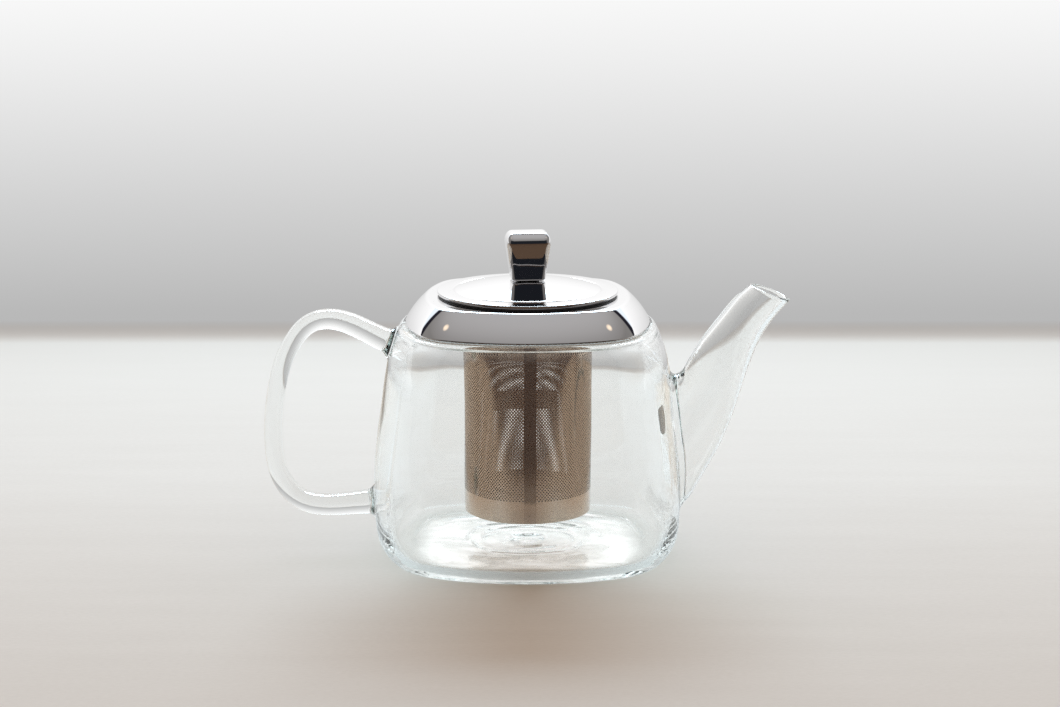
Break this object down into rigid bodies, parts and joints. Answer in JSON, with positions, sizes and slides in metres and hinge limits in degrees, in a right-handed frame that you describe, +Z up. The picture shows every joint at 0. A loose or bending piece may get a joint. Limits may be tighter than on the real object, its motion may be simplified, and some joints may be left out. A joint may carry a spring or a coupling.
{
  "type": "teapot",
  "caption": "Clear glass teapot, square with rounded corners, with a curved spout and loop handle, a perforated steel infuser under a polished collar, and a domed lift-off lid.",
  "frame": {"origin": "on the vessel's upright axis, at the underside of its flat base", "axes": "+Z up, +X towards the spout, -X towards the handle, the handle and spout lie in the XZ plane"},
  "size_m": [0.2026, 0.1186, 0.125],
  "materials": {
    "clear_glass": "clear polished borosilicate",
    "mirror_steel": "mirror polished stainless steel",
    "sheet_steel": "satin stainless sheet",
    "etched_steel": "etched perforated stainless sheet",
    "clear_silicone": "translucent silicone",
    "black_silicone": "black silicone"
  },
  "bodies": {
    "pot": {"glass_vessel": "clear_glass", "glass_spout": "clear_glass", "glass_handle": "clear_glass"},
    "infuser": {"collar": "mirror_steel", "collar_tray": "sheet_steel", "mouth_gasket": "clear_silicone", "basket_rim": "sheet_steel", "basket_wall": "etched_steel", "basket_floor": "etched_steel"},
    "lid_seal": {"lid_seal_ring": "black_silicone"},
    "lid": {"lid_shell": "mirror_steel", "lid_plug": "sheet_steel", "knob": "mirror_steel", "knob_washer": "black_silicone", "screw_washer": "sheet_steel", "knob_screw": "sheet_steel"}
  },
  "joints": [
    {"name": "infuser_lift", "type": "slide", "parent": "pot", "child": "infuser", "axis": [0, 0, 1], "range_m": [0, 0.09]},
    {"name": "lid_turn", "type": "hinge", "parent": "infuser", "child": "lid_seal", "pos_m": [0, 0, 0.1006], "axis": [0, 0, 1], "continuous": true},
    {"name": "lid_lift", "type": "slide", "parent": "lid_seal", "child": "lid", "axis": [0, 0, 1], "range_m": [0, 0.05]}
  ]
}
